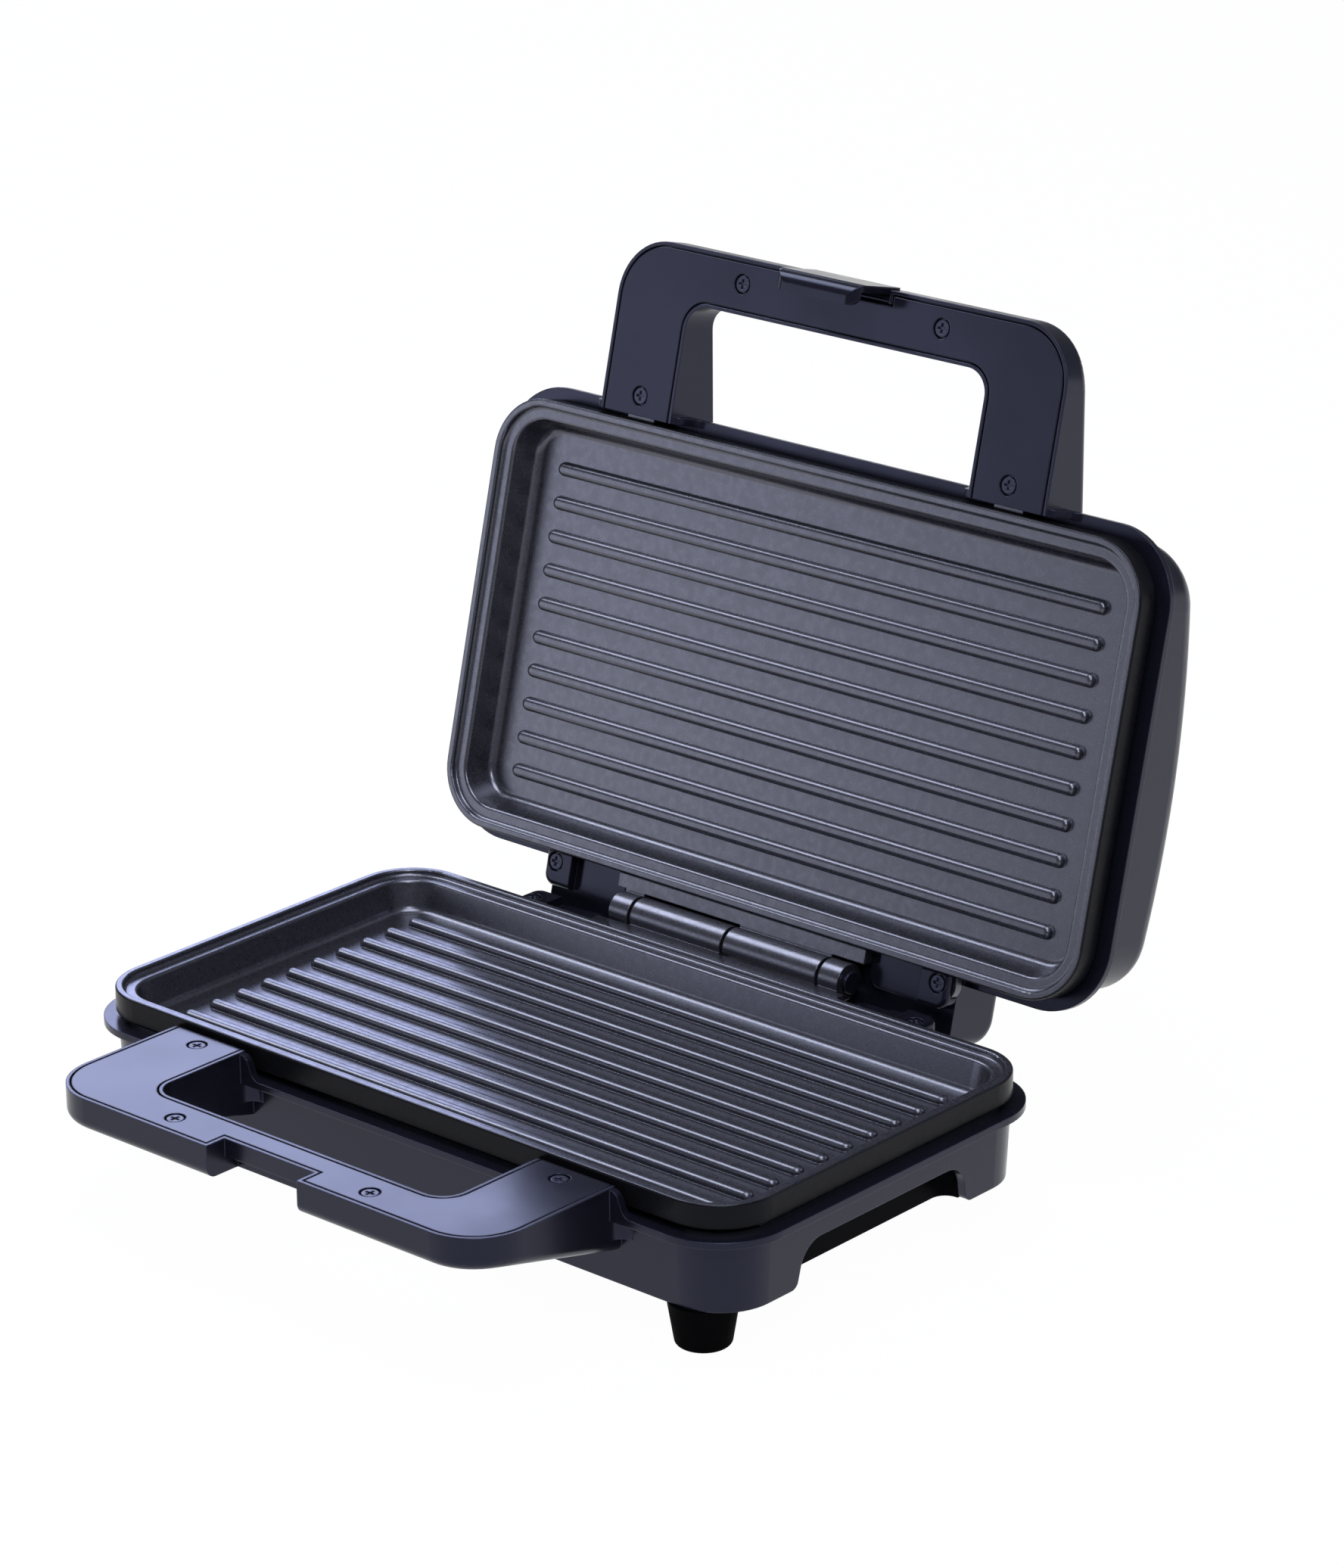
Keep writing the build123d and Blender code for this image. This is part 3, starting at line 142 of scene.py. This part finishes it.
def new_material(name):
    """Empty material with one principled shader, and the coordinates of the part's own frame."""
    material = bpy.data.materials.new(name)
    material.use_nodes = True
    tree = material.node_tree
    shader = tree.nodes["Principled BSDF"]
    place = tree.nodes.new("ShaderNodeTexCoord")
    return material, tree, shader, place.outputs["Object"]


def noise(tree, place, scale, detail=2.0, roughness=0.5):
    node = tree.nodes.new("ShaderNodeTexNoise")
    node.inputs["Scale"].default_value = scale
    node.inputs["Detail"].default_value = detail
    node.inputs["Roughness"].default_value = roughness
    link(tree, place, node.inputs["Vector"])
    return node.outputs["Fac"]


def spread(tree, value, low, high, start=0.0, end=1.0):
    """Maps a value between start and end onto low to high."""
    node = tree.nodes.new("ShaderNodeMapRange")
    node.inputs["From Min"].default_value = start
    node.inputs["From Max"].default_value = end
    node.inputs["To Min"].default_value = low
    node.inputs["To Max"].default_value = high
    link(tree, value, node.inputs["Value"])
    return node.outputs["Result"]


def tint(tree, value, dark, pale):
    """Colour that runs from dark to pale with a value."""
    node = tree.nodes.new("ShaderNodeMix")
    node.data_type = "RGBA"
    node.inputs["A"].default_value = (*dark, 1.0)
    node.inputs["B"].default_value = (*pale, 1.0)
    link(tree, value, node.inputs["Factor"])
    return node.outputs["Result"]


def rounded_normal(tree, radius):
    """Normal that runs softly over sharp edges."""
    node = tree.nodes.new("ShaderNodeBevel")
    node.samples = EDGE_SAMPLES
    node.inputs["Radius"].default_value = radius
    return node.outputs["Normal"]


def edge_mask(tree, rounded):
    """Value near one along sharp edges, from how far a rounded normal leaves the true one."""
    geometry = tree.nodes.new("ShaderNodeNewGeometry")
    dot = tree.nodes.new("ShaderNodeVectorMath")
    dot.operation = "DOT_PRODUCT"
    link(tree, rounded, dot.inputs[0])
    link(tree, geometry.outputs["Normal"], dot.inputs[1])
    return spread(tree, dot.outputs["Value"], 1.0, 0.0, *EDGE_MATCH)


def grain(tree, height, strength, distance, base=None):
    """Normal with a bump, over the base normal if there is one."""
    node = tree.nodes.new("ShaderNodeBump")
    node.inputs["Strength"].default_value = strength
    node.inputs["Distance"].default_value = distance
    link(tree, height, node.inputs["Height"])
    if base is not None:
        link(tree, base, node.inputs["Normal"])
    return node.outputs["Normal"]


def plastic(name, colour, smooth, rough, grain_scale, grain_strength, gloss):
    """Moulded plastic: fine grain, uneven polish, and edges that handling has rubbed paler."""
    material, tree, shader, place = new_material(name)
    worn = tuple(PLASTIC_WEAR * channel for channel in colour)
    rounded = rounded_normal(tree, PLASTIC_EDGE)
    mask = edge_mask(tree, rounded)
    link(tree, tint(tree, mask, colour, worn), shader.inputs["Base Color"])
    polish = noise(tree, place, PLASTIC_POLISH_SCALE, 4.0)
    link(tree, spread(tree, polish, smooth, rough, *NOISE_MIDDLE), shader.inputs["Roughness"])
    fine = noise(tree, place, grain_scale)
    normal = grain(tree, fine, grain_strength, PLASTIC_GRAIN_DEPTH, rounded)
    link(tree, normal, shader.inputs["Normal"])
    shader.inputs["IOR"].default_value = PLASTIC_IOR
    shader.inputs["Specular IOR Level"].default_value = gloss
    shader.inputs["Specular Tint"].default_value = (*BLUE_SHEEN, 1.0)
    return material


def outline_mask(tree, place, turn):
    """Value of one on the plate's outer skirt, found from the plate's rounded outline."""
    local = tree.nodes.new("ShaderNodeMapping")
    local.vector_type = "TEXTURE"
    local.inputs["Location"].default_value = HINGE_PLACE
    local.inputs["Rotation"].default_value = (turn, 0.0, 0.0)
    link(tree, place, local.inputs["Vector"])
    reach = local.outputs["Vector"]
    # The second subtraction takes more than any height, so that height drops out
    for operation, operand in (
        ("SUBTRACT", (0.0, PLATE_MIDDLE, 0.0)),
        ("ABSOLUTE", None),
        ("SUBTRACT", (PLATE_HALF[0] - PLATE_CORNER, PLATE_HALF[1] - PLATE_CORNER, 1.0)),
        ("MAXIMUM", (0.0, 0.0, 0.0)),
        ("LENGTH", None),
    ):
        step = tree.nodes.new("ShaderNodeVectorMath")
        step.operation = operation
        if operand is not None:
            step.inputs[1].default_value = operand
        link(tree, reach, step.inputs[0])
        reach = step.outputs["Value" if operation == "LENGTH" else "Vector"]
    band = tree.nodes.new("ShaderNodeMath")
    band.operation = "MULTIPLY"
    inner = spread(tree, reach, 0.0, 1.0, PLATE_CORNER - SKIRT_END, PLATE_CORNER - SKIRT_FULL)
    outer = spread(tree, reach, 1.0, 0.0, PLATE_CORNER + SKIRT_FULL, PLATE_CORNER + SKIRT_END)
    link(tree, inner, band.inputs[0])
    link(tree, outer, band.inputs[1])
    return band.outputs["Value"]


def nonstick(name, turn):
    """Dark coating with pale flakes, a sprayed grain and a satin sheen; its outer skirt has
    painted shade, near black and with little reflection.
    """
    material, tree, shader, place = new_material(name)
    skirt = outline_mask(tree, place, turn)
    flakes = noise(tree, place, COAT_FLAKE_SCALE, roughness=COAT_NOISE_ROUGHNESS)
    fleck = spread(tree, flakes, 0.0, 1.0, *COAT_FLAKE_RANGE)
    coat = tint(tree, fleck, PLATE_DARK, PLATE_PALE)
    # Painted shade: the skirt is mixed to near black
    dark = tree.nodes.new("ShaderNodeMix")
    dark.data_type = "RGBA"
    dark.inputs["B"].default_value = (*PAINTED_SKIRT_SHADE, 1.0)
    link(tree, skirt, dark.inputs["Factor"])
    link(tree, coat, dark.inputs["A"])
    link(tree, dark.outputs["Result"], shader.inputs["Base Color"])
    satin = noise(tree, place, COAT_SATIN_SCALE, 3.0)
    link(tree, spread(tree, satin, *COAT_SATIN, *NOISE_MIDDLE), shader.inputs["Roughness"])
    height = noise(tree, place, COAT_GRAIN_SCALE, roughness=COAT_NOISE_ROUGHNESS)
    rounded = rounded_normal(tree, COAT_EDGE)
    normal = grain(tree, height, COAT_GRAIN_STRENGTH, COAT_GRAIN_DEPTH, rounded)
    link(tree, normal, shader.inputs["Normal"])
    shader.inputs["IOR"].default_value = COAT_IOR
    # The skirt's reflection is turned down too, with its painted shade
    link(tree, spread(tree, skirt, 1.0, SKIRT_GLOSS), shader.inputs["Specular IOR Level"])
    shader.inputs["Specular Tint"].default_value = (*PLATE_SHEEN, 1.0)
    return material


def metal(name, colour, smooth, rough, streak):
    """Bare metal with drawn or rolled streaks."""
    material, tree, shader, place = new_material(name)
    stretch = tree.nodes.new("ShaderNodeMapping")
    stretch.inputs["Scale"].default_value = streak
    link(tree, place, stretch.inputs["Vector"])
    lines = noise(tree, stretch.outputs["Vector"], STREAK_SCALE, 3.0)
    dull = tuple(STREAK_DULL * channel for channel in colour)
    link(tree, tint(tree, lines, dull, colour), shader.inputs["Base Color"])
    link(tree, spread(tree, lines, smooth, rough, *NOISE_MIDDLE), shader.inputs["Roughness"])
    link(tree, grain(tree, lines, STREAK_STRENGTH, STREAK_DEPTH), shader.inputs["Normal"])
    shader.inputs["Metallic"].default_value = 1.0
    return material


def dusty(name, colour, pale, rough, grain_scale, gloss):
    """Matt rubber or ceramic with a mottled tone and a dry grain."""
    material, tree, shader, place = new_material(name)
    mottle = noise(tree, place, MOTTLE_SCALE, 4.0)
    link(tree, tint(tree, mottle, colour, pale), shader.inputs["Base Color"])
    dryness = (rough - MOTTLE_SPREAD, rough + MOTTLE_SPREAD)
    link(tree, spread(tree, mottle, *dryness, *NOISE_MIDDLE), shader.inputs["Roughness"])
    dry = noise(tree, place, grain_scale, 3.0)
    link(tree, grain(tree, dry, DRY_STRENGTH, DRY_DEPTH), shader.inputs["Normal"])
    shader.inputs["Specular IOR Level"].default_value = gloss
    return material


def lens(name, colour):
    """Clear tinted plastic with faint moulding ripples."""
    material, tree, shader, place = new_material(name)
    ripple = noise(tree, place, RIPPLE_SCALE)
    shader.inputs["Base Color"].default_value = (*colour, 1.0)
    link(tree, spread(tree, ripple, *RIPPLE_POLISH), shader.inputs["Roughness"])
    link(tree, grain(tree, ripple, RIPPLE_STRENGTH, RIPPLE_DEPTH), shader.inputs["Normal"])
    shader.inputs["Transmission Weight"].default_value = LENS_CLEARNESS
    return material


# Looks by the record's material slots
LOOKS = {
    "casing_plastic": plastic(
        "casing_plastic_look", CASING_BLACK, smooth=0.20, rough=0.30,
        grain_scale=2600.0, grain_strength=0.10, gloss=0.40,
    ),
    "cover_plastic": plastic(
        "cover_plastic_look", COVER_BLACK, smooth=0.14, rough=0.22,
        grain_scale=3200.0, grain_strength=0.05, gloss=0.30,
    ),
    "base_plastic": plastic(
        "base_plastic_look", BASE_BLACK, smooth=0.45, rough=0.60,
        grain_scale=1800.0, grain_strength=0.25, gloss=0.03,
    ),
    "nonstick_plate": nonstick("nonstick_look", turn=0.0),
    "black_screw": plastic(
        "screw_look", COVER_BLACK, smooth=0.18, rough=0.32,
        grain_scale=4000.0, grain_strength=0.05, gloss=0.6,
    ),
    "bright_steel": metal("steel_look", STEEL_GREY, smooth=0.22, rough=0.36, streak=DRAWN),
    "element_sheath": metal("sheath_look", SHEATH_BROWN, smooth=0.35, rough=0.55, streak=EVEN),
    "reflector_sheet": metal("reflector_look", SHEET_GREY, smooth=0.18, rough=0.30, streak=DRAWN),
    "ceramic": dusty(
        "ceramic_look", CERAMIC_DARK, CERAMIC_PALE, rough=0.6, grain_scale=1500.0, gloss=0.5,
    ),
    "rubber": dusty(
        "rubber_look", RUBBER_BLACK, RUBBER_PALE, rough=0.62, grain_scale=2200.0, gloss=0.01,
    ),
    "lens": lens("lens_look", LENS_RED),
    "lamp": lens("lamp_look", LAMP_AMBER),
}


def dress(node, look):
    """Gives a node of the part one material in place of its own."""
    mesh = NODES[node].data
    mesh.materials.clear()
    mesh.materials.append(look)


def backdrop_white(tree, shade, share):
    """Mix of a shade with a shader linked later, which camera and mirror rays get by a share."""
    path = tree.nodes.new("ShaderNodeLightPath")
    seen = path.outputs["Is Camera Ray"]
    for ray in ("Is Glossy Ray", "Is Transmission Ray"):
        either = tree.nodes.new("ShaderNodeMath")
        either.operation = "MAXIMUM"
        link(tree, seen, either.inputs[0])
        link(tree, path.outputs[ray], either.inputs[1])
        seen = either.outputs["Value"]
    part = tree.nodes.new("ShaderNodeMath")
    part.operation = "MULTIPLY"
    part.inputs[1].default_value = share
    link(tree, seen, part.inputs[0])
    mix = tree.nodes.new("ShaderNodeMixShader")
    link(tree, part.outputs["Value"], mix.inputs["Fac"])
    link(tree, shade, mix.inputs[1])
    return mix


def make_floor():
    """Floor that looks white to the camera and in mirrors, and lights the part as a grey one."""
    bpy.ops.mesh.primitive_circle_add(
        vertices=FLOOR_SIDES, radius=FLOOR_RADIUS, fill_type="NGON", location=(0, 0, -FLOOR_DROP),
    )
    floor = bpy.context.object
    floor.name = "floor"
    material, tree, shader, _ = new_material("floor_look")
    shader.inputs["Base Color"].default_value = (*FLOOR_GREY, 1.0)
    shader.inputs["Roughness"].default_value = FLOOR_ROUGHNESS
    glow = tree.nodes.new("ShaderNodeEmission")
    glow.inputs["Strength"].default_value = BACKDROP_GLOW
    mix = backdrop_white(tree, shader.outputs["BSDF"], BACKDROP_SHARE)
    link(tree, glow.outputs["Emission"], mix.inputs[2])
    link(tree, mix.outputs["Shader"], tree.nodes["Material Output"].inputs["Surface"])
    floor.data.materials.append(material)


def make_world():
    world = bpy.data.worlds.new("studio")
    bpy.context.scene.world = world
    world.use_nodes = True
    ambient = world.node_tree.nodes["Background"]
    ambient.inputs["Color"].default_value = (*AMBIENT_BLUE, 1.0)
    ambient.inputs["Strength"].default_value = AMBIENT_STRENGTH


def soft_light(name, place, target, size, power, colour):
    """Rectangular lamp that faces its target."""
    data = bpy.data.lights.new(name, "AREA")
    data.shape = "RECTANGLE"
    data.size, data.size_y = size
    data.energy = power
    data.color = colour
    light = bpy.data.objects.new(name, data)
    light.location = place
    aim = Vector(target) - Vector(place)
    light.rotation_euler = aim.to_track_quat("-Z", "Y").to_euler()
    bpy.context.scene.collection.objects.link(light)


def make_camera():
    data = bpy.data.cameras.new("camera")
    data.sensor_fit = "HORIZONTAL"
    data.sensor_width = SENSOR_WIDTH
    data.lens = FOCAL_PIXELS * SENSOR_WIDTH / IMAGE_WIDTH
    data.clip_start = CAMERA_NEAR
    camera = bpy.data.objects.new("camera", data)
    camera.location = CAMERA_PLACE
    camera.rotation_euler = Euler([radians(turn) for turn in CAMERA_TURN])
    bpy.context.scene.collection.objects.link(camera)
    bpy.context.scene.camera = camera


for subpart in frame["record"]["subparts"]:
    dress(subpart["node"], LOOKS[subpart["material_slot"]])
# The lid's plate has a look of its own, whose skirt is found with the lid at its open angle
dress("upper_grill_plate", nonstick("lid_nonstick_look", radians(-OPEN_ANGLE)))
make_floor()
make_world()
make_camera()
for lamp in LAMPS:
    soft_light(*lamp)
bpy.context.scene.view_settings.view_transform = "Standard"
